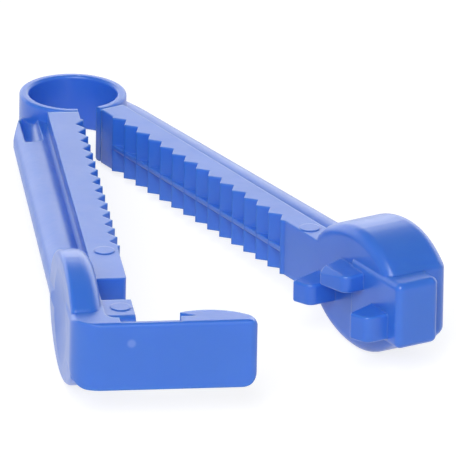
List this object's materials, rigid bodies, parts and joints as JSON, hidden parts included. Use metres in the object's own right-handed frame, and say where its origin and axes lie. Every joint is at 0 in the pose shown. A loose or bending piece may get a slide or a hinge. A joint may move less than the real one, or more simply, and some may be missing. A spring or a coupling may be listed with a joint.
{
  "type": "umbilical cord clamp",
  "caption": "One-piece moulded plastic cord clamp: toothed jaw arms spread from a sprung ring, with a barbed hook that latches over a catch on the facing arm.",
  "frame": {"origin": "centre of the ring's bore, on the mould's parting plane", "axes": "+Z along the ring's axis; the arms leave the ring towards -Y, the hook arm on the -X side and the catch arm on the +X side"},
  "size_m": [0.0347, 0.0617, 0.011],
  "materials": {
    "blue_plastic": "smooth satin-gloss injection moulding"
  },
  "bodies": {
    "root": {"cord_clamp": "blue_plastic"}
  },
  "joints": []
}
